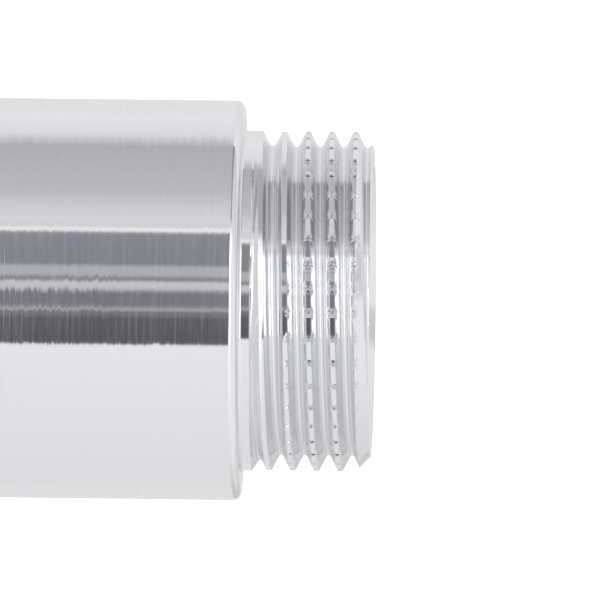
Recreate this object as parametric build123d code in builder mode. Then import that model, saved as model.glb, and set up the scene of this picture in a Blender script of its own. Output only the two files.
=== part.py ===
from build123d import *
from build123d.topology import SkipClean
from math import atan2, ceil, cos, degrees, radians, sin, tan
import os

# Driving dimensions, in millimetres and degrees

# Plain round body, standing on its socket end with its axis on Z
body_diameter = 39.0
body_length = 40.0
# The upper edge is rounded in a few narrow turned facets
shoulder_edge_radius = 0.8
shoulder_facets = 3
base_edge_chamfer = 0.35

# Male parallel pipe thread of 11 turns to the inch, with heights counted from the shoulder and angles from X
# The plain neck below it has the thread's outside diameter
threads_per_inch = 11
flank_angle = 27.5
thread_depth = 1.479
groove_bottom_width = 0.31
crest_diameter = 33.05
male_length = 12.6
end_chamfer = 1.42
full_groove_height = 1.77
full_groove_angle = 30.0
runout_turns = 0.4

# Notches rolled across the crests, which keep the sealing thread from slipping
notch_count = 42
notch_width = 0.58
notch_depth = 0.24
notch_start_height = 4.5
first_notch_angle = 0.0

# Socket at the lower end, bored to the crest of its internal thread
socket_diameter = 30.29
socket_depth = 17.0
socket_mouth_angle = 45.0
# The flat ring that is left round the socket's mouth, on which the fitting seats
base_ring_width = 1.95

# Waterway, and the hexagon at the male end that takes the fitting key
bore_diameter = 26.0
hexagon_across_flats = 22.0
hexagon_depth = 12.6
hexagon_mouth_diameter = 26.6
hexagon_mouth_angle = 45.0

# Sizes that follow from those above

inch = 25.4
full_turn = 360
quarter_turn = 90
sector_turn = 45
cut_margin = 0.25
pitch = inch / threads_per_inch
flank_slope = tan(radians(flank_angle))

body_radius = body_diameter / 2
crest_radius = crest_diameter / 2
root_radius = crest_radius - thread_depth
socket_radius = socket_diameter / 2
socket_mouth_radius = body_radius - base_edge_chamfer - base_ring_width
bore_radius = bore_diameter / 2
hexagon_radius = hexagon_across_flats / 2
hexagon_mouth_radius = hexagon_mouth_diameter / 2

total_length = body_length + male_length
end_chamfer_height = total_length - end_chamfer
socket_mouth_height = (socket_mouth_radius - socket_radius) / tan(radians(socket_mouth_angle))
hexagon_mouth_depth = (hexagon_mouth_radius - hexagon_radius) / tan(radians(hexagon_mouth_angle))
hexagon_mouth_bottom = total_length - hexagon_mouth_depth
hexagon_bottom = total_length - hexagon_depth
full_height = body_length + full_groove_height
notch_height = body_length + notch_start_height
# Across a notch's mouth where its two sides are carried past the crest by the margin
notch_opening = notch_width * (notch_depth + cut_margin) / notch_depth


def outward(angle):
    """The level direction away from the axis at an angle from X."""
    return Vector(1, 0, 0).rotate(Axis.Z, angle)


def axial_plane(angle, height):
    """The plane through the axis at an angle from X, with its x outwards and its y up."""
    return Plane((0, 0, height), x_dir=outward(angle), z_dir=outward(angle - quarter_turn))


def shoulder_point(step):
    """A point of the body's rounded upper edge, counted in steps from the cylinder up to the shoulder."""
    angle = radians(quarter_turn * step / shoulder_facets)
    return (
        body_radius - shoulder_edge_radius * (1 - cos(angle)),
        body_length - shoulder_edge_radius * (1 - sin(angle)),
    )


def groove_cutter(angle, height, radius, rise, lean=0, from_top=False):
    """One stretch of the thread's groove, as the solid that the tool takes away.

    Its bottom starts at an angle, height and radius, rises by rise and leans out by lean degrees.
    Its section stands at the start, or at the end where from_top is true.
    """
    section_height = height + rise * from_top
    section_angle = angle + full_turn * rise / pitch * from_top
    bottom_radius = radius + rise * tan(radians(lean)) * from_top
    cut_depth = thread_depth + cut_margin
    with BuildSketch(axial_plane(section_angle, section_height)) as section:
        with BuildLine():
            Polyline(
                (bottom_radius, -groove_bottom_width / 2),
                (bottom_radius, groove_bottom_width / 2),
                (bottom_radius + cut_depth, groove_bottom_width / 2 + cut_depth * flank_slope),
                (bottom_radius + cut_depth, -groove_bottom_width / 2 - cut_depth * flank_slope),
                close=True,
            )
        make_face()
    with BuildLine(Plane.XY.offset(height)) as path:
        Helix(pitch / cos(radians(lean)), rise, radius, cone_angle=lean)
    with BuildPart() as groove:
        sweep(section.sketch, path.line.rotate(Axis.Z, angle), is_frenet=True)
    return groove.part


# An eighth of the turned blank, with the outline of the outside, the socket and the waterway
with BuildPart() as blank_sector:
    with BuildSketch(Plane.XZ):
        with BuildLine():
            Polyline(
                (socket_mouth_radius, 0),
                (body_radius - base_edge_chamfer, 0),
                (body_radius, base_edge_chamfer),
                *[shoulder_point(step) for step in range(shoulder_facets + 1)],
                (crest_radius, body_length),
                (crest_radius, end_chamfer_height),
                (crest_radius - end_chamfer, total_length),
                (hexagon_mouth_radius, total_length),
                (hexagon_radius, hexagon_mouth_bottom),
                (hexagon_radius, hexagon_bottom),
                (bore_radius, hexagon_bottom),
                (bore_radius, socket_depth),
                (socket_radius, socket_depth),
                (socket_radius, socket_mouth_height),
                close=True,
            )
        make_face()
    revolve(axis=Axis.Z, revolution_arc=sector_turn)

# The groove deepens from the surface of the neck, then keeps its depth until it runs out of the end
runout_rise = runout_turns * pitch
grooves = [
    groove_cutter(
        full_groove_angle - runout_turns * full_turn,
        full_height - runout_rise,
        crest_radius + cut_margin,
        runout_rise,
        lean=degrees(atan2(-thread_depth - cut_margin, runout_rise)),
        from_top=True,
    )
]
for turn in range(ceil((total_length - full_height) / pitch) + 1):
    grooves.append(groove_cutter(full_groove_angle, full_height + turn * pitch, root_radius, pitch))

# The walls stay in eighths of a turn, so that each stretch of the thread's crest has an angle of its own
with SkipClean(), BuildPart() as extension_fitting:
    with PolarLocations(0, full_turn // sector_turn):
        add(blank_sector.part)

    # The driving hexagon, from the end down to the waterway
    with BuildSketch(Plane.XY.offset(total_length)):
        RegularPolygon(hexagon_radius, 6, major_radius=False)
    extrude(amount=-hexagon_depth, mode=Mode.SUBTRACT)

    for groove in grooves:
        add(groove, mode=Mode.SUBTRACT)

    # The straight notches across the crests, from their start to the end of the thread
    with BuildSketch(Plane.XY.offset(notch_height)):
        with PolarLocations(crest_radius, notch_count, start_angle=first_notch_angle):
            Polygon(
                (-notch_depth, 0),
                (cut_margin, -notch_opening / 2),
                (cut_margin, notch_opening / 2),
                align=None,
            )
    extrude(amount=total_length - notch_height, mode=Mode.SUBTRACT)

extension_fitting.part.label = "extension_fitting"
os.makedirs("parts", exist_ok=True)
export_step(extension_fitting.part, "parts/extension_fitting.step")
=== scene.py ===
"""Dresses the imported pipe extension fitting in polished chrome, with its rolled thread, in a white tent."""

import logging
import math
from collections.abc import Callable
from dataclasses import dataclass, field
from enum import Enum
from typing import ClassVar

import bmesh
import bpy
from mathutils import Matrix, Vector

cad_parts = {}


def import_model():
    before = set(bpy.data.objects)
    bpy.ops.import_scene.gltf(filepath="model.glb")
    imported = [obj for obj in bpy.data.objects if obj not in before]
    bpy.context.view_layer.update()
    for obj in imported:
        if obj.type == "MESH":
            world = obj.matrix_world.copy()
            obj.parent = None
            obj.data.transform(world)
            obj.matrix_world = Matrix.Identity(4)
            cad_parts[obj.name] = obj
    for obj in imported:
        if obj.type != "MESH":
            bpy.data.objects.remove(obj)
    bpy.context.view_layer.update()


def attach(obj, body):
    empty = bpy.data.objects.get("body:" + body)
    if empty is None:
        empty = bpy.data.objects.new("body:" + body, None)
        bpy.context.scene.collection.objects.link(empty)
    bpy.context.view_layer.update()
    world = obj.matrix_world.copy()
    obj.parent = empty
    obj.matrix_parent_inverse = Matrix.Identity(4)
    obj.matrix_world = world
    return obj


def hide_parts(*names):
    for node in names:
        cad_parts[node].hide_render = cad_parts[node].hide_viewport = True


LOG = logging.getLogger("pipe_extension_fitting")

MM = 0.001
INCH = 25.4
TURNS_PER_INCH = 11
FULL_TURN = 2 * math.pi
QUARTER_TURN = math.pi / 2
TURN_DEGREES = 360
# How a cone's radius changes with its height where it narrows upwards at 45 degrees
EVEN_TAPER = -1.0
# A corner nearer than this to a cut, in an unrolled sheet's own units, lies on it
CUT_GAP = 1e-5
# Corners nearer than this, in millimetres, are one corner where a rolled sheet meets itself
SEAM_GAP = 0.002
# An open edge within this height of a cut, in millimetres, belongs to that cut's ring
RING_GAP = 0.01
NODE_NAME = "extension_fitting"
PIECE_NAME = "chromed_extension"
BODY_NAME = "root"

# Radii and heights of an outline, or places and values of a table
Pair = tuple[float, float]
# A ring of edges, and a rule that gives a radius and a height for each angle round the axis
Ring = list[bmesh.types.BMEdge]
RingRule = Callable[[float], Pair]


class Side(Enum):
    """Which way the crests of a thread point from its axis."""

    OUTWARD = 1
    INWARD = -1


class Keep(Enum):
    """What stays of a sheet that is cut."""

    BOTH = "both sides"
    ABOVE = "the upper side"
    BELOW = "the lower side"


class Finish(Enum):
    """The places of the piece's materials in its list."""

    OUTSIDE = 0
    INSIDE = 1


@dataclass(frozen=True)
class ThreadForm:
    """The section of a parallel pipe thread, in millimetres and degrees.

    Heights are along the axis. A groove's middle stands at root_height where the angle from X is 0.
    """

    side: Side
    crest_radius: float
    root_height: float
    pitch: float = INCH / TURNS_PER_INCH
    depth: float = 1.479
    flank_angle: float = 27.5
    root_rounding: float = 0.25
    root_steps: int = 3
    crest_rounding: float = 0.12
    crest_steps: int = 2
    # How deep below the crest the flanks have corners, between the two roundings
    flank_depths: tuple[float, ...] = (1.1, 0.85, 0.6, 0.4, 0.22)

    def half_section(self) -> list[Pair]:
        """Traces the section from a groove's middle to the middle of the next crest.

        Returns:
            Heights above the groove's middle, each with its depth below the crest.
        """
        lean = math.tan(math.radians(self.flank_angle))
        swing = math.radians(90 - self.flank_angle)
        points = []
        for step in range(self.root_steps + 1):
            angle = swing * step / self.root_steps
            height = self.root_rounding * math.sin(angle)
            points.append((height, self.depth - self.root_rounding * (1 - math.cos(angle))))
        flank_start, flank_depth = points[-1]
        points += [(flank_start + (flank_depth - depth) * lean, depth) for depth in self.flank_depths]
        crest_edge = flank_start + flank_depth * lean
        centre = crest_edge + self.crest_rounding * math.tan(swing / 2)
        for step in range(self.crest_steps + 1):
            angle = swing * (1 - step / self.crest_steps)
            height = centre - self.crest_rounding * math.sin(angle)
            points.append((height, self.crest_rounding * (1 - math.cos(angle))))
        points.append((self.pitch / 2, 0.0))
        return points

    def section(self) -> list[Pair]:
        """Traces one whole turn, from one groove's middle to just before the next.

        Returns:
            Heights above the groove's middle, each with its radius.
        """
        half = self.half_section()
        down = [(self.pitch - height, depth) for height, depth in reversed(half[1:-1])]
        return [(height, self.radius_at(depth)) for height, depth in half + down]

    def radius_at(self, depth: float) -> float:
        """Gives the radius of a point at a depth below the crest."""
        return self.crest_radius - depth * self.side.value

    def turns_from_first_root(self, angle: float, height: float) -> float:
        """Counts the turns along the helix from the first groove's middle to a point.

        Args:
            angle: The point's angle from X, in radians.
            height: The point's height.

        Returns:
            A whole number in the middle of each groove, and a half more in the middle of each crest.
        """
        return (height - self.root_height) / self.pitch - angle / FULL_TURN


def cut_sheet(sheet: bmesh.types.BMesh, place: Vector, normal: Vector, keep: Keep = Keep.BOTH) -> None:
    """Cuts a sheet's faces along a plane.

    Args:
        sheet: The sheet's mesh.
        place: A point of the plane.
        normal: The plane's normal, which points to the upper side.
        keep: What stays of the sheet.
    """
    bmesh.ops.bisect_plane(
        sheet,
        geom=sheet.verts[:] + sheet.edges[:] + sheet.faces[:],
        dist=CUT_GAP,
        plane_co=place,
        plane_no=normal,
        clear_inner=keep is Keep.ABOVE,
        clear_outer=keep is Keep.BELOW,
    )


@dataclass(frozen=True)
class Slope:
    """A straight line of radius against height, which in the round is a cone."""

    height: float
    radius: float
    rise: float

    def radius_at(self, height: float) -> float:
        """Gives the cone's radius at a height."""
        return self.radius + self.rise * (height - self.height)

    def split(self, sheet: bmesh.types.BMesh) -> None:
        """Cuts an unrolled sheet's faces along the cone, and leaves both sides in place."""
        place = Vector((0, self.radius, self.height))
        cut_sheet(sheet, place, Vector((0, 1, -self.rise)).normalized())


@dataclass
class UnrolledThread:
    """A thread laid out flat, with x the angle round the axis in radians, y the radius and z the height.

    In this layout each cone is a plane, so planes can cut it. Rolling it up makes the thread.
    """

    form: ThreadForm
    columns: int
    low: float
    high: float
    # Where the columns of one repeat stand, as shares of it
    shares: tuple[float, ...] = (0.0,)
    mesh: bmesh.types.BMesh = field(default_factory=bmesh.new)

    def lay_out(self) -> None:
        """Makes the sheet between its two heights, as wide as one turn."""
        self.sweep(self.draw_section())
        self.set_columns()
        self.cut_level(self.low, Keep.ABOVE)
        self.cut_level(self.high, Keep.BELOW)

    def draw_section(self) -> list[bmesh.types.BMVert | bmesh.types.BMEdge]:
        """Draws the section of all the turns, one above another, and a turn more at each end.

        Returns:
            The section's corners and edges.
        """
        pitch = self.form.pitch
        first = math.floor((self.low - self.form.root_height) / pitch) - 1
        last = math.ceil((self.high - self.form.root_height) / pitch) + 1
        corners = []
        for turn in range(first, last):
            base = self.form.root_height + turn * pitch
            for height, radius in self.form.section():
                corners.append(self.mesh.verts.new((0, radius, base + height)))
        return corners + [self.mesh.edges.new(pair) for pair in zip(corners, corners[1:])]

    def sweep(self, section: list[bmesh.types.BMVert | bmesh.types.BMEdge]) -> None:
        """Sweeps the section along the helix for one turn, in even columns.

        Args:
            section: The section's corners and edges.
        """
        bmesh.ops.spin(
            self.mesh,
            geom=section,
            cent=(0, 0, 0),
            axis=(0, 0, 1),
            dvec=(FULL_TURN / self.columns, 0, self.form.pitch / self.columns),
            angle=0,
            steps=self.columns,
        )

    def column_angle(self, column: int) -> float:
        """Gives the angle at which a column stands."""
        repeat, place = divmod(column, len(self.shares))
        return (repeat + self.shares[place]) * len(self.shares) * FULL_TURN / self.columns

    def set_columns(self) -> None:
        """Moves the even columns along the helix to where they stand."""
        for corner in self.mesh.verts:
            angle = self.column_angle(round(corner.co.x * self.columns / FULL_TURN))
            corner.co.z += self.form.pitch * (angle - corner.co.x) / FULL_TURN
            corner.co.x = angle

    def cut_level(self, height: float, keep: Keep = Keep.BOTH) -> None:
        """Cuts the sheet along a height."""
        cut_sheet(self.mesh, Vector((0, 0, height)), Vector((0, 0, 1)), keep)

    def hold_in(self, slope: Slope) -> None:
        """Brings every point outside a cone in to it, with a clean edge.

        Args:
            slope: The cone.
        """
        slope.split(self.mesh)
        for corner in self.mesh.verts:
            corner.co.y = min(corner.co.y, slope.radius_at(corner.co.z))

    def hold_out(self, slope: Slope) -> None:
        """Brings every point inside a cone out to it, with a clean edge.

        Args:
            slope: The cone.
        """
        slope.split(self.mesh)
        for corner in self.mesh.verts:
            corner.co.y = max(corner.co.y, slope.radius_at(corner.co.z))

    def roll_up(self) -> bmesh.types.BMesh:
        """Rolls the sheet round the axis and joins its two ends.

        Returns:
            The sheet's mesh, which is now the thread.
        """
        for corner in self.mesh.verts:
            angle, radius, height = corner.co
            corner.co = (radius * math.cos(angle), radius * math.sin(angle), height)
        bmesh.ops.remove_doubles(self.mesh, verts=self.mesh.verts[:], dist=SEAM_GAP)
        return self.mesh


@dataclass
class MaleThread:
    """The notched male thread, from the plain neck to the end chamfer, in millimetres and degrees."""

    form: ThreadForm = ThreadForm(Side.OUTWARD, crest_radius=16.525, root_height=41.575)
    low: float = 40.9
    high: float = 52.6
    neck_radius: float = 16.6
    neck_end: float = 41.05
    # Where the blank has come down from the neck's radius to the crest's
    crest_start: float = 42.4
    # How the radius changes with height where the groove leaves the neck
    runout_fall: float = -1.5
    # How far above the neck the shallow start of the groove has reached its depth
    runout_lead: float = 0.14
    # Half the width of the shallow trough with which the groove starts
    runout_half_width: float = 0.93
    # How deep the groove has become at angles along it, from where it starts to where it is full
    runout_depths: tuple[Pair, ...] = (
        (-165.0, 0.0),
        (-90.0, 0.14),
        (0.0, 1.14),
        (180.0, 1.36),
        (360.0, 1.479),
    )
    end_chamfer: float = 1.42
    notch_count: int = 42
    notch_start: float = 44.68
    # The depth of a notch at distances from its middle, where less than nothing is its raised lip
    notch_depths: tuple[Pair, ...] = ((0.0, 0.17), (0.062, 0.08), (0.16, -0.055), (0.4, 0.0))
    # Where the mesh's columns stand between two notches, as shares of their spacing
    notch_shares: tuple[float, ...] = (0.0, 0.025, 0.065, 0.16, 0.36, 0.64, 0.84, 0.935, 0.975)
    # How far the lip is squeezed out over the flanks for its height, and how deep below the crest it reaches
    lip_spread: float = 4.0
    lip_reach: float = 0.45
    # Within this share of a pitch from its middle, the crest isn't squeezed to either side
    crest_middle: float = 0.02

    @staticmethod
    def read_off(stops: tuple[Pair, ...], place: float) -> float:
        """Reads a value off a table, on straight lines between its stops.

        Args:
            stops: The table's places and values, with the places in rising order.
            place: The place to read at.

        Returns:
            The value there, or that of the nearest stop outside the table.
        """
        if place <= stops[0][0]:
            return stops[0][1]
        for (start, first), (end, last) in zip(stops, stops[1:]):
            if place <= end:
                return first + (last - first) * (place - start) / (end - start)
        return stops[-1][1]

    def blank_radius(self, height: float) -> float:
        """Gives the radius that the blank has between the grooves, which falls from neck to crest."""
        share = (self.crest_start - height) / (self.crest_start - self.neck_end)
        step = self.neck_radius - self.form.crest_radius
        return self.form.crest_radius + step * min(max(share, 0.0), 1.0)

    def fade_groove(self, sheet: UnrolledThread) -> None:
        """Lets the groove grow out of the neck, as the lead of the cutting tool leaves it.

        Args:
            sheet: The thread, laid out flat.
        """
        lead = Slope(self.neck_end, self.neck_radius, self.runout_fall)
        sheet.cut_level(self.neck_end)
        sheet.cut_level(self.neck_end + self.runout_lead)
        for corner in sheet.mesh.verts:
            angle, radius, height = corner.co
            turns = self.form.turns_from_first_root(angle, height)
            along = math.degrees(angle) + TURN_DEGREES * round(turns)
            aside = (turns - round(turns)) * self.form.pitch / self.runout_half_width
            trough = self.read_off(self.runout_depths, along) * max(1 - aside**2, 0.0)
            radius = self.blank_radius(height) - min(self.form.crest_radius - radius, trough)
            corner.co.y = max(radius, min(lead.radius_at(height), self.neck_radius))

    def press_notches(self, sheet: UnrolledThread) -> None:
        """Presses the row of notches into the crests, and squeezes their lips out over the flanks.

        Args:
            sheet: The thread, laid out flat.
        """
        spacing = FULL_TURN / self.notch_count
        crest = self.form.crest_radius
        for corner in sheet.mesh.verts:
            angle, radius, height = corner.co
            aside = abs(angle / spacing - round(angle / spacing)) * spacing * crest
            below = crest - radius
            if height < self.notch_start or aside >= self.notch_depths[-1][0] or below > self.lip_reach:
                continue
            depth = self.read_off(self.notch_depths, aside)
            share = 1 - below / self.lip_reach
            corner.co.y = min(radius, crest - depth) if depth > 0 else radius - depth * share
            from_crest = self.form.turns_from_first_root(angle, height) % 1 - 0.5
            if depth < 0 and abs(from_crest) > self.crest_middle:
                corner.co.z -= math.copysign(self.lip_spread * depth * share, from_crest)

    def build(self) -> bmesh.types.BMesh:
        """Makes the thread's surface, open at its two ends.

        Returns:
            The surface, rolled up round the axis.
        """
        columns = self.notch_count * len(self.notch_shares)
        sheet = UnrolledThread(self.form, columns, self.low, self.high, self.notch_shares)
        sheet.lay_out()
        self.fade_groove(sheet)
        sheet.hold_in(Slope(self.high - self.end_chamfer, self.form.crest_radius, EVEN_TAPER))
        self.press_notches(sheet)
        return sheet.roll_up()


@dataclass
class SocketThread:
    """The internal thread of the socket, which takes the same male thread, in millimetres."""

    form: ThreadForm = ThreadForm(Side.INWARD, crest_radius=15.145, root_height=0.6)
    columns: int = 168
    low: float = 0.0
    high: float = 17.0
    mouth_radius: float = 17.2
    runout_start: float = 13.4
    runout_length: float = 2.4

    def fill_runout(self, sheet: UnrolledThread) -> None:
        """Lets the groove run out before the socket's bottom.

        Args:
            sheet: The thread, laid out flat.
        """
        root = self.form.radius_at(self.form.depth)
        slope = Slope(self.runout_start, root, (self.form.crest_radius - root) / self.runout_length)
        slope.split(sheet.mesh)
        for corner in sheet.mesh.verts:
            if corner.co.z > self.runout_start:
                most = max(slope.radius_at(corner.co.z), self.form.crest_radius)
                corner.co.y = min(corner.co.y, most)

    def build(self) -> bmesh.types.BMesh:
        """Makes the thread's surface, open at its two ends.

        Returns:
            The surface, rolled up round the axis.
        """
        sheet = UnrolledThread(self.form, self.columns, self.low, self.high)
        sheet.lay_out()
        sheet.hold_out(Slope(self.low, self.mouth_radius, EVEN_TAPER))
        self.fill_runout(sheet)
        return sheet.roll_up()


@dataclass
class Fitting:
    """The whole fitting: body, shoulder, neck, two threads, waterway and driving hexagon, in millimetres."""

    male: MaleThread = field(default_factory=MaleThread)
    socket: SocketThread = field(default_factory=SocketThread)
    body_radius: float = 19.5
    body_length: float = 40.0
    base_chamfer: float = 0.35
    shoulder_rounding: float = 0.8
    shoulder_steps: int = 10
    neck_blend: float = 0.2
    neck_blend_steps: int = 4
    end_mouth_radius: float = 13.3
    hexagon_radius: float = 11.0
    hexagon_depth: float = 12.6
    bore_radius: float = 13.0
    # How far past a rounding a further ring stands, which keeps the flat beside it shaded as flat
    support: float = 0.06
    # Edges that bend by more than this, in degrees, are shaded as sharp
    crease: float = 30.0

    @staticmethod
    def open_ring(mesh: bmesh.types.BMesh, height: float) -> Ring:
        """Finds the open edges of a mesh at a height."""
        return [
            edge
            for edge in mesh.edges
            if edge.is_boundary and all(abs(corner.co.z - height) < RING_GAP for corner in edge.verts)
        ]

    @staticmethod
    def quarter_round(steps: int) -> list[Pair]:
        """Lists the corners of a quarter round of radius 1, as distances from the lines that it joins."""
        angles = [QUARTER_TURN * step / steps for step in range(steps + 1)]
        return [(1 - math.cos(angle), 1 - math.sin(angle)) for angle in angles]

    def draw_on(self, mesh: bmesh.types.BMesh, ring: Ring, rule: RingRule, finish: Finish) -> Ring:
        """Carries an open ring on by one row of faces.

        Args:
            mesh: The mesh that holds the ring.
            ring: The open edges.
            rule: Gives the new ring's radius and height at each angle.
            finish: The material of the new faces.

        Returns:
            The new open edges.
        """
        grown = bmesh.ops.extrude_edge_only(mesh, edges=ring)["geom"]
        for corner in (part for part in grown if isinstance(part, bmesh.types.BMVert)):
            angle = math.atan2(corner.co.y, corner.co.x)
            radius, height = rule(angle)
            corner.co = (radius * math.cos(angle), radius * math.sin(angle), height)
        for face in (part for part in grown if isinstance(part, bmesh.types.BMFace)):
            face.material_index = finish.value
        return [part for part in grown if isinstance(part, bmesh.types.BMEdge) and part.is_boundary]

    def turn_on(self, mesh: bmesh.types.BMesh, ring: Ring, outline: list[Pair], finish: Finish) -> Ring:
        """Carries an open ring on along a turned outline.

        Args:
            mesh: The mesh that holds the ring.
            ring: The open edges.
            outline: The radii and heights of the rings to come.
            finish: The material of the new faces.

        Returns:
            The last ring's open edges.
        """
        for radius, height in outline:
            ring = self.draw_on(mesh, ring, lambda _, at=(radius, height): at, finish)
        return ring

    def hexagon_at(self, angle: float) -> float:
        """Gives the hexagon's radius at an angle from X, with a corner on X."""
        sixth = FULL_TURN / 6
        return self.hexagon_radius / math.cos((angle % sixth) - sixth / 2)

    def body_outline(self) -> list[Pair]:
        """Traces the body from the neck down to the base, round the shoulder.

        Returns:
            The outline's radii and heights.
        """
        neck, blend = self.male.neck_radius, self.neck_blend
        body, edge = self.body_radius, self.shoulder_rounding
        shoulder = self.body_length
        points = [(neck, shoulder + blend + self.support)]
        points += [
            (neck + blend * out, shoulder + blend * up)
            for out, up in self.quarter_round(self.neck_blend_steps)
        ]
        points.append((neck + blend + self.support, shoulder))
        points.append((body - edge - self.support, shoulder))
        points += [
            (body - edge * inwards, shoulder - edge * down)
            for down, inwards in self.quarter_round(self.shoulder_steps)
        ]
        points.append((body, shoulder - edge - self.support))
        points.append((body, self.base_chamfer))
        points.append((body - self.base_chamfer, 0.0))
        points.append((self.socket.mouth_radius + self.base_chamfer, 0.0))
        return points

    def cut_waterway(self, mesh: bmesh.types.BMesh) -> None:
        """Carries the male end's ring over the end face, down the hexagon and the bore, to the socket.

        Args:
            mesh: The fitting's mesh so far.
        """
        end, bottom = self.male.high, self.male.high - self.hexagon_depth
        ring = self.turn_on(mesh, self.open_ring(mesh, end), [(self.end_mouth_radius, end)], Finish.OUTSIDE)
        ring = self.draw_on(
            mesh,
            ring,
            lambda angle: (self.hexagon_at(angle), end - self.end_mouth_radius + self.hexagon_at(angle)),
            Finish.OUTSIDE,
        )
        ring = self.draw_on(mesh, ring, lambda angle: (self.hexagon_at(angle), bottom), Finish.INSIDE)
        end_of_socket = self.socket.high
        outline = [
            (self.bore_radius, bottom),
            (self.bore_radius, end_of_socket),
            (self.bore_radius + self.base_chamfer, end_of_socket),
        ]
        self.turn_on(mesh, ring, outline, Finish.INSIDE)

    def close_level(self, mesh: bmesh.types.BMesh, height: float, finish: Finish) -> None:
        """Fills the flat band between the two open rings at a height.

        Args:
            mesh: The mesh that holds the rings.
            height: The rings' height.
            finish: The material of the new faces.
        """
        rings = self.open_ring(mesh, height)
        filled = bmesh.ops.triangle_fill(mesh, use_beauty=True, edges=rings, normal=(0, 0, 1))["geom"]
        for face in (part for part in filled if isinstance(part, bmesh.types.BMFace)):
            face.material_index = finish.value

    def join_socket(self, mesh: bmesh.types.BMesh) -> None:
        """Brings in the socket's thread and joins it to the waterway and to the base.

        Args:
            mesh: The fitting's mesh so far.
        """
        loose = self.socket.build()
        for face in loose.faces:
            face.material_index = Finish.INSIDE.value
        carrier = bpy.data.meshes.new("socket_thread")
        loose.to_mesh(carrier)
        loose.free()
        mesh.from_mesh(carrier)
        bpy.data.meshes.remove(carrier)
        self.close_level(mesh, self.socket.low, Finish.OUTSIDE)
        self.close_level(mesh, self.socket.high, Finish.INSIDE)

    def build(self) -> bpy.types.Object:
        """Makes the fitting's mesh and object.

        Returns:
            The object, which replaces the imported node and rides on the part's one body.
        """
        mesh = self.male.build()
        self.turn_on(mesh, self.open_ring(mesh, self.male.low), self.body_outline(), Finish.OUTSIDE)
        self.cut_waterway(mesh)
        self.join_socket(mesh)
        bmesh.ops.recalc_face_normals(mesh, faces=mesh.faces[:])
        bmesh.ops.transform(mesh, matrix=Matrix.Scale(MM, 4), verts=mesh.verts[:])
        open_edges = sum(not edge.is_manifold for edge in mesh.edges)
        LOG.info("%s: %d faces, %d open edges", PIECE_NAME, len(mesh.faces), open_edges)
        data = bpy.data.meshes.new(NODE_NAME + "_dressed")
        mesh.to_mesh(data)
        mesh.free()
        data.shade_smooth()
        data.set_sharp_from_angle(angle=math.radians(self.crease))
        piece = bpy.data.objects.new(PIECE_NAME, data)
        bpy.context.scene.collection.objects.link(piece)
        return piece


@dataclass(frozen=True)
class NodeBench:
    """A node tree, with the ways in which this script adds and joins its nodes."""

    tree: bpy.types.ShaderNodeTree

    def add(self, kind: str) -> bpy.types.Node:
        """Adds a node of a kind."""
        return self.tree.nodes.new(kind)

    def feed(self, source: bpy.types.NodeSocket | float | tuple, place: bpy.types.NodeSocket) -> None:
        """Links an output to an input, or sets the input to a value.

        Args:
            source: The output or the value.
            place: The input.
        """
        if isinstance(source, bpy.types.NodeSocket):
            self.tree.links.new(source, place)
        else:
            place.default_value = source

    def number(self, operation: str, *parts: bpy.types.NodeSocket | float) -> bpy.types.NodeSocket:
        """Works a number out of others.

        Args:
            operation: The Math node's operation.
            parts: What it works on, in its order.

        Returns:
            The output with the number.
        """
        node = self.add("ShaderNodeMath")
        node.operation = operation
        for part, place in zip(parts, node.inputs):
            self.feed(part, place)
        return node.outputs["Value"]

    def vector(self, operation: str, *parts: bpy.types.NodeSocket | tuple) -> bpy.types.NodeSocket:
        """Works a vector out of others.

        Args:
            operation: The Vector Math node's operation.
            parts: What it works on, in its order.

        Returns:
            The output with the vector.
        """
        node = self.add("ShaderNodeVectorMath")
        node.operation = operation
        for part, place in zip(parts, node.inputs):
            self.feed(part, place)
        return node.outputs["Vector"]

    def scaled(self, vector: bpy.types.NodeSocket, factor: bpy.types.NodeSocket) -> bpy.types.NodeSocket:
        """Makes a vector longer or shorter.

        Args:
            vector: The output with the vector.
            factor: The output with the factor.

        Returns:
            The output with the new vector.
        """
        node = self.add("ShaderNodeVectorMath")
        node.operation = "SCALE"
        self.feed(vector, node.inputs["Vector"])
        self.feed(factor, node.inputs["Scale"])
        return node.outputs["Vector"]

    def spread(
        self,
        value: bpy.types.NodeSocket,
        span: Pair = (0.0, 1.0),
        onto: Pair = (0.0, 1.0),
        soft: bool = False,
    ) -> bpy.types.NodeSocket:
        """Maps a number from one span onto another, and holds it there.

        Args:
            value: The output with the number.
            span: The span that it is read in.
            onto: The span that it is mapped onto.
            soft: Whether it starts and ends gently.

        Returns:
            The output with the mapped number.
        """
        node = self.add("ShaderNodeMapRange")
        node.interpolation_type = "SMOOTHSTEP" if soft else "LINEAR"
        node.inputs["From Min"].default_value, node.inputs["From Max"].default_value = span
        node.inputs["To Min"].default_value, node.inputs["To Max"].default_value = onto
        self.feed(value, node.inputs["Value"])
        return node.outputs["Result"]


@dataclass(frozen=True)
class Polish:
    """How a plated surface looks, with heights in metres."""

    name: str
    colour: tuple[float, float, float]
    roughness: float
    roughness_spread: float
    line_height: float
    ripple_height: float
    # How far the polishing wheel left the surface turned aside round the axis, as a share of a radian
    sway: float


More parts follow.
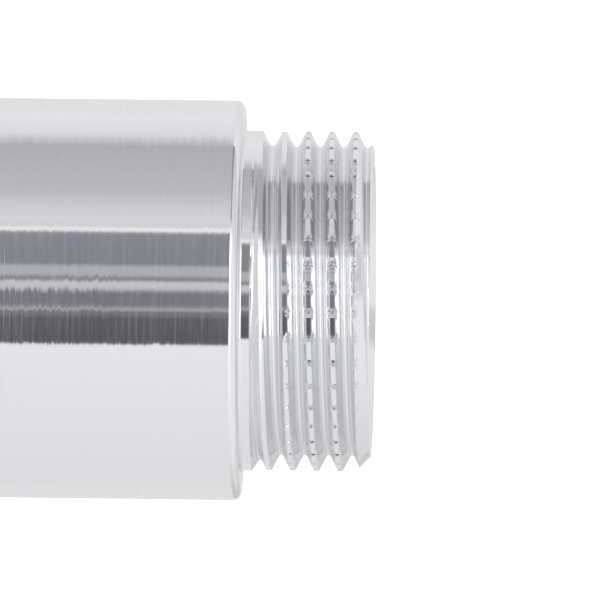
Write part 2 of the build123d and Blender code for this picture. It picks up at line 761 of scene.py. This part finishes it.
class TurningMarks:
    """The fine rings and waves that the lathe and the polishing wheel leave, as a node group.

    Scales are in grains a metre along the object's own axes.
    """

    NAME = "turning_marks"
    LINE_SCALE = (70.0, 70.0, 5600.0)
    RIPPLE_SCALE = (700.0, 700.0, 1800.0)
    SWAY_SCALE = (300.0, 300.0, 4200.0)
    HAZE_SCALE = (190.0, 190.0, 4400.0)
    # The haze's noise values at which the surface is clear and fully hazy
    HAZE_SPAN = (0.45, 0.75)
    PATCH_SCALE = (110.0, 110.0, 70.0)
    # The patches' noise values at which the sway is faintest and plainest, and how much of it shows there
    PATCH_SPAN = (0.45, 0.62)
    PATCH_SHARES = (0.15, 1.0)
    NOISE_DETAIL = 2.0
    NOISE_MIDDLE = 0.5
    PART_AXIS = (0.0, 0.0, 1.0)

    @classmethod
    def group(cls) -> bpy.types.ShaderNodeTree:
        """Builds the group once.

        Returns:
            The group, which puts out heights in metres, masks of the lines and the haze, and swayed normals.
        """
        if cls.NAME in bpy.data.node_groups:
            return bpy.data.node_groups[cls.NAME]
        tree = bpy.data.node_groups.new(cls.NAME, "ShaderNodeTree")
        for name in ("Line Height", "Ripple Height", "Sway"):
            tree.interface.new_socket(name, in_out="INPUT", socket_type="NodeSocketFloat")
        for name in ("Height", "Lines", "Haze"):
            tree.interface.new_socket(name, in_out="OUTPUT", socket_type="NodeSocketFloat")
        tree.interface.new_socket("Normal", in_out="OUTPUT", socket_type="NodeSocketVector")
        bench = NodeBench(tree)
        given = bench.add("NodeGroupInput").outputs
        result = bench.add("NodeGroupOutput").inputs
        lines = cls.noise(bench, cls.LINE_SCALE)
        tall = bench.number("MULTIPLY", lines, given["Line Height"])
        low = bench.number("MULTIPLY", cls.noise(bench, cls.RIPPLE_SCALE), given["Ripple Height"])
        bench.feed(bench.number("ADD", tall, low), result["Height"])
        bench.feed(lines, result["Lines"])
        bench.feed(bench.spread(cls.noise(bench, cls.HAZE_SCALE), cls.HAZE_SPAN), result["Haze"])
        patches = bench.spread(cls.noise(bench, cls.PATCH_SCALE), cls.PATCH_SPAN, cls.PATCH_SHARES)
        centred = bench.number("SUBTRACT", cls.noise(bench, cls.SWAY_SCALE), cls.NOISE_MIDDLE)
        sway = bench.number("MULTIPLY", bench.number("MULTIPLY", centred, given["Sway"]), patches)
        bench.feed(cls.swayed_normal(bench, sway), result["Normal"])
        return tree

    @classmethod
    def noise(cls, bench: NodeBench, scale: tuple[float, float, float]) -> bpy.types.NodeSocket:
        """Adds noise on the object's own coordinates.

        Args:
            bench: The tree that it is added to.
            scale: The grains a metre along each axis.

        Returns:
            The output with the noise, from 0 to 1.
        """
        stretch = bench.add("ShaderNodeMapping")
        stretch.inputs["Scale"].default_value = scale
        grain = bench.add("ShaderNodeTexNoise")
        grain.inputs["Scale"].default_value = 1.0
        grain.inputs["Detail"].default_value = cls.NOISE_DETAIL
        bench.feed(bench.add("ShaderNodeTexCoord").outputs["Object"], stretch.inputs["Vector"])
        bench.feed(stretch.outputs["Vector"], grain.inputs["Vector"])
        return grain.outputs["Fac"]

    @classmethod
    def swayed_normal(cls, bench: NodeBench, sway: bpy.types.NodeSocket) -> bpy.types.NodeSocket:
        """Turns the surface's normals aside round the part's axis.

        Args:
            bench: The tree that this is added to.
            sway: The output with how far they turn, which varies over the surface.

        Returns:
            The output with the turned normals.
        """
        surface = bench.add("ShaderNodeNewGeometry").outputs["Normal"]
        aside = bench.vector("CROSS_PRODUCT", cls.PART_AXIS, surface)
        return bench.vector("NORMALIZE", bench.vector("ADD", surface, bench.scaled(aside, sway)))


@dataclass(frozen=True)
class PlatedMetal:
    """A plated and polished metal finish, with a thin haze of fine scratches."""

    HAZE_ROUGHNESS: ClassVar[float] = 0.4
    HAZE_IOR: ClassVar[float] = 1.6

    polish: Polish

    def material(self) -> bpy.types.Material:
        """Builds the material.

        Returns:
            A metal whose roughness, haze and height vary with the turning marks.
        """
        polish = self.polish
        made = bpy.data.materials.new(polish.name)
        made.use_nodes = True
        bench = NodeBench(made.node_tree)
        shader = made.node_tree.nodes["Principled BSDF"].inputs
        shader["Metallic"].default_value = 1.0
        shader["Base Color"].default_value = (*polish.colour, 1.0)
        shader["Coat Roughness"].default_value = self.HAZE_ROUGHNESS
        shader["Coat IOR"].default_value = self.HAZE_IOR
        marks = bench.add("ShaderNodeGroup")
        marks.node_tree = TurningMarks.group()
        marks.inputs["Line Height"].default_value = polish.line_height / MM
        marks.inputs["Ripple Height"].default_value = polish.ripple_height / MM
        marks.inputs["Sway"].default_value = polish.sway
        bump = bench.add("ShaderNodeBump")
        bump.inputs["Strength"].default_value = 1.0
        bump.inputs["Distance"].default_value = MM
        bench.feed(marks.outputs["Height"], bump.inputs["Height"])
        bench.feed(marks.outputs["Normal"], bump.inputs["Normal"])
        bench.feed(bump.outputs["Normal"], shader["Normal"])
        span = (polish.roughness - polish.roughness_spread, polish.roughness + polish.roughness_spread)
        bench.feed(bench.spread(marks.outputs["Lines"], onto=span), shader["Roughness"])
        bench.feed(marks.outputs["Haze"], shader["Coat Weight"])
        return made


OUTSIDE_POLISH = Polish(
    name="polished_chrome",
    colour=(0.775, 0.78, 0.80),
    roughness=0.07,
    roughness_spread=0.03,
    line_height=3.5e-6,
    ripple_height=1.0e-6,
    sway=0.06,
)
INSIDE_POLISH = Polish(
    name="dull_plating",
    colour=(0.66, 0.63, 0.56),
    roughness=0.28,
    roughness_spread=0.06,
    line_height=2.0e-6,
    ripple_height=1.5e-6,
    sway=0.1,
)


class Tint(Enum):
    """The colour casts of the studio's cards."""

    PLAIN = (1.0, 1.0, 1.0)
    COOL = (0.97, 0.98, 1.1)
    BLUISH = (0.985, 1.0, 1.03)
    ROSY = (1.01, 0.96, 1.06)
    WARM = (1.005, 0.982, 1.01)


@dataclass(frozen=True)
class Card:
    """A light or dark card of the studio, as a band of directions round the part's axis.

    Angles are in degrees from the camera's side, towards the top of the picture.
    """

    name: str
    start: float
    end: float
    glow: float
    end_glow: float | None = None
    tint: Tint = Tint.PLAIN

    def shades(self) -> list[tuple[float, ...]]:
        """Gives the card's colour at its start and at its end."""
        last = self.glow if self.end_glow is None else self.end_glow
        return [tuple(part * glow for part in self.tint.value) + (1.0,) for glow in (self.glow, last)]


@dataclass(frozen=True)
class CardRow:
    """A ring of cards round the part's axis.

    It takes over from the row before it between two slopes from the level, in degrees.
    """

    starts: float
    full: float
    cards: tuple[Card, ...]

    def reach(self) -> Pair:
        """Gives the sines of the two slopes between which the row takes over."""
        return math.sin(math.radians(self.starts)), math.sin(math.radians(self.full))


# What the body, the neck and the crests reflect
LEVEL_ROW = CardRow(
    starts=0.0,
    full=0.0,
    cards=(
        Card("behind_below", -180.0, -140.0, 0.775, 0.9),
        Card("tent_below", -140.0, -25.6, 0.88, 1.0),
        Card("dark_card_below", -25.6, -10.2, 0.105, 0.135, Tint.ROSY),
        Card("dark_card", -10.2, -6.0, 0.2, tint=Tint.ROSY),
        Card("slit_below", -6.0, -4.3, 0.5, tint=Tint.WARM),
        Card("camera_side", -4.3, 5.4, 0.22, tint=Tint.COOL),
        Card("slit", 5.4, 10.2, 0.68, tint=Tint.WARM),
        Card("frame_edge", 10.2, 13.2, 0.28, tint=Tint.COOL),
        Card("grey_strip", 13.2, 19.2, 0.52, tint=Tint.BLUISH),
        Card("dark_card_above", 19.2, 38.2, 0.27, 0.3, Tint.COOL),
        Card("bright_edge", 38.2, 41.0, 1.05),
        Card("near_grey", 41.0, 48.0, 0.79, 0.85, Tint.WARM),
        Card("wall_middle", 48.0, 66.0, 0.83, 0.62, Tint.WARM),
        Card("grey_wall", 66.0, 101.0, 0.62, 0.53, Tint.WARM),
        Card("wall_edge", 101.0, 110.0, 0.57, 0.88),
        Card("tent_above", 110.0, 128.0, 0.88, 0.97),
        Card("behind_above", 128.0, 180.0, 0.97, 0.775),
    ),
)
# What the grooves of the thread reflect, from one flank to the other
LIGHT_ROW = CardRow(
    starts=3.5,
    full=6.0,
    cards=(
        Card("behind_below", -180.0, -150.0, 0.65),
        Card("tent_below", -150.0, -25.6, 0.65, 1.3),
        Card("light_panel", -25.6, 35.0, 2.3),
        Card("panel_edge", 35.0, 48.0, 1.5, 0.55),
        Card("grey_wall", 48.0, 101.5, 0.42, 0.34, Tint.WARM),
        Card("tent_above", 101.5, 180.0, 0.95, 0.8),
    ),
)
# What the rounded edges and the end face reflect
FAR_ROW = CardRow(
    starts=16.0,
    full=20.0,
    cards=(
        Card("behind_below", -180.0, -110.0, 0.7, 1.0),
        Card("tent_below", -110.0, 41.0, 1.0),
        Card("grey_wall", 41.0, 104.0, 0.9, 0.7, Tint.WARM),
        Card("tent_above", 104.0, 180.0, 1.0, 0.8),
    ),
)


@dataclass
class Tent:
    """The white tent with its rows of cards, which the metal reflects and which lights the part."""

    # Degrees by which the middle of the rows stands below the level
    dip: float
    rows: tuple[CardRow, ...] = (LEVEL_ROW, LIGHT_ROW, FAR_ROW)
    # Degrees over which two neighbouring cards merge
    softness: float = 0.5
    backdrop_glow: float = 1.6
    backdrop_colour: tuple[float, float, float, float] = (1.0, 1.0, 1.0, 1.0)

    def build(self) -> None:
        """Makes the world, which the metal reflects as cards and the camera sees as white."""
        world = bpy.data.worlds.new("white_tent")
        world.use_nodes = True
        bpy.context.scene.world = world
        world.node_tree.nodes.clear()
        bench = NodeBench(world.node_tree)
        reflected = bench.add("ShaderNodeBackground")
        bench.feed(self.join_rows(bench), reflected.inputs["Color"])
        seen = bench.add("ShaderNodeBackground")
        seen.inputs["Strength"].default_value = self.backdrop_glow
        seen.inputs["Color"].default_value = self.backdrop_colour
        choice = bench.add("ShaderNodeMixShader")
        share, for_the_rest, for_the_camera = choice.inputs
        bench.feed(bench.add("ShaderNodeLightPath").outputs["Is Camera Ray"], share)
        bench.feed(reflected.outputs["Background"], for_the_rest)
        bench.feed(seen.outputs["Background"], for_the_camera)
        bench.feed(choice.outputs["Shader"], bench.add("ShaderNodeOutputWorld").inputs["Surface"])

    def directions(self, bench: NodeBench) -> tuple[bpy.types.NodeSocket, bpy.types.NodeSocket]:
        """Works out where a direction points.

        Args:
            bench: The world's node tree.

        Returns:
            The outputs with the share of a turn round the part's axis, from behind by way of the lower side,
            and with the sine of the slope from the rows' middle.
        """
        parts = bench.add("ShaderNodeSeparateXYZ")
        bench.feed(bench.add("ShaderNodeTexCoord").outputs["Generated"], parts.inputs["Vector"])
        upwards = bench.number("MULTIPLY", parts.outputs["X"], -1.0)
        forwards = bench.number("MULTIPLY", parts.outputs["Y"], -1.0)
        share = bench.spread(bench.number("ARCTAN2", upwards, forwards), (-math.pi, math.pi))
        lifted = bench.number("ADD", parts.outputs["Z"], math.sin(math.radians(self.dip)))
        return share, bench.number("ABSOLUTE", lifted)

    def join_rows(self, bench: NodeBench) -> bpy.types.NodeSocket:
        """Sets up the rows of cards, each taking over from the one before it.

        Args:
            bench: The world's node tree.

        Returns:
            The output with the colour that is seen in a direction.
        """
        share, slope = self.directions(bench)
        shown = None
        for row in self.rows:
            ramp = bench.add("ShaderNodeValToRGB")
            self.set_cards(ramp.color_ramp, row.cards)
            bench.feed(share, ramp.inputs["Fac"])
            if shown is None:
                shown = ramp.outputs["Color"]
                continue
            blend = bench.add("ShaderNodeMix")
            blend.data_type = "RGBA"
            places = {place.identifier: place for place in blend.inputs}
            bench.feed(bench.spread(slope, row.reach(), soft=True), places["Factor_Float"])
            bench.feed(shown, places["A_Color"])
            bench.feed(ramp.outputs["Color"], places["B_Color"])
            shown = next(place for place in blend.outputs if place.identifier == "Result_Color")
        return shown

    def set_cards(self, ramp: bpy.types.ColorRamp, cards: tuple[Card, ...]) -> None:
        """Sets a ramp's stops to a row's cards, with a soft edge wherever two of them differ.

        Args:
            ramp: The ramp, which runs once round the part's axis.
            cards: The row's cards, in order.
        """
        ramp.interpolation = "LINEAR"
        stops = []
        for card in cards:
            first, last = card.shades()
            if not stops or stops[-1][1] != first:
                stops.append((card.start + self.softness / 2, first))
            stops.append((card.end - self.softness / 2, last))
        while len(ramp.elements) < len(stops):
            ramp.elements.new(1.0)
        for element, (angle, shade) in zip(ramp.elements, stops):
            element.position = (angle + TURN_DEGREES / 2) / TURN_DEGREES
            element.color = shade


@dataclass
class Studio:
    """The plain studio: a white tent, a pale floor, and the camera. Lengths are in metres."""

    distance: float = 2.0
    # The camera's sensor, in millimetres
    sensor: float = 36.0
    near_clip: float = 0.1
    far_clip: float = 50.0
    # How much of the part's length the picture takes in
    frame_width: float = 0.05848
    target: tuple[float, float, float] = (-0.0001, 0.0, 0.04553)
    # Degrees by which the camera stands towards the male end, and by which it is tilted
    turn_to_end: float = 1.55
    roll: float = 0.65
    floor_radius: float = 0.25
    floor_segments: int = 96
    paper_colour: tuple[float, float, float, float] = (0.86, 0.86, 0.86, 1.0)
    paper_roughness: float = 0.9

    def build(self) -> None:
        """Puts up the tent, the floor and the camera, and sets plain display colours."""
        Tent(dip=self.turn_to_end).build()
        self.lay_floor()
        self.place_camera()
        bpy.context.scene.view_settings.view_transform = "Standard"

    def lay_floor(self) -> None:
        """Lays a round pale floor under the part's base."""
        mesh = bmesh.new()
        bmesh.ops.create_circle(mesh, cap_ends=True, radius=self.floor_radius, segments=self.floor_segments)
        data = bpy.data.meshes.new("studio_floor")
        mesh.to_mesh(data)
        mesh.free()
        floor = bpy.data.objects.new("studio_floor", data)
        bpy.context.scene.collection.objects.link(floor)
        paper = bpy.data.materials.new("pale_paper")
        paper.use_nodes = True
        shader = paper.node_tree.nodes["Principled BSDF"].inputs
        shader["Base Color"].default_value = self.paper_colour
        shader["Roughness"].default_value = self.paper_roughness
        data.materials.append(paper)

    def place_camera(self) -> None:
        """Sets up a long lens on the -Y side, with the part's axis lying across the picture."""
        lens = bpy.data.cameras.new("camera")
        lens.sensor_width = self.sensor
        lens.lens = self.sensor * self.distance / self.frame_width
        lens.clip_start = self.near_clip
        lens.clip_end = self.far_clip
        camera = bpy.data.objects.new("camera", lens)
        turn, roll = math.radians(self.turn_to_end), math.radians(self.roll)
        back = Vector((0, -math.cos(turn), math.sin(turn)))
        level_right = Vector((0, math.sin(turn), math.cos(turn)))
        level_up = back.cross(level_right)
        right = level_right * math.cos(roll) + level_up * math.sin(roll)
        up = level_up * math.cos(roll) - level_right * math.sin(roll)
        place = Matrix((right, up, back)).transposed().to_4x4()
        place.translation = Vector(self.target) + back * self.distance
        camera.matrix_world = place
        bpy.context.scene.collection.objects.link(camera)
        bpy.context.scene.camera = camera


def main() -> None:
    """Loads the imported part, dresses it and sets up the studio."""
    logging.basicConfig(level=logging.INFO)
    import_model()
    piece = Fitting().build()
    # In the order of the places in Finish
    for polish in (OUTSIDE_POLISH, INSIDE_POLISH):
        piece.data.materials.append(PlatedMetal(polish).material())
    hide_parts(NODE_NAME)
    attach(piece, BODY_NAME)
    LOG.info("%s rides on %s", piece.name, BODY_NAME)
    Studio().build()


if __name__ == "__main__":
    main()
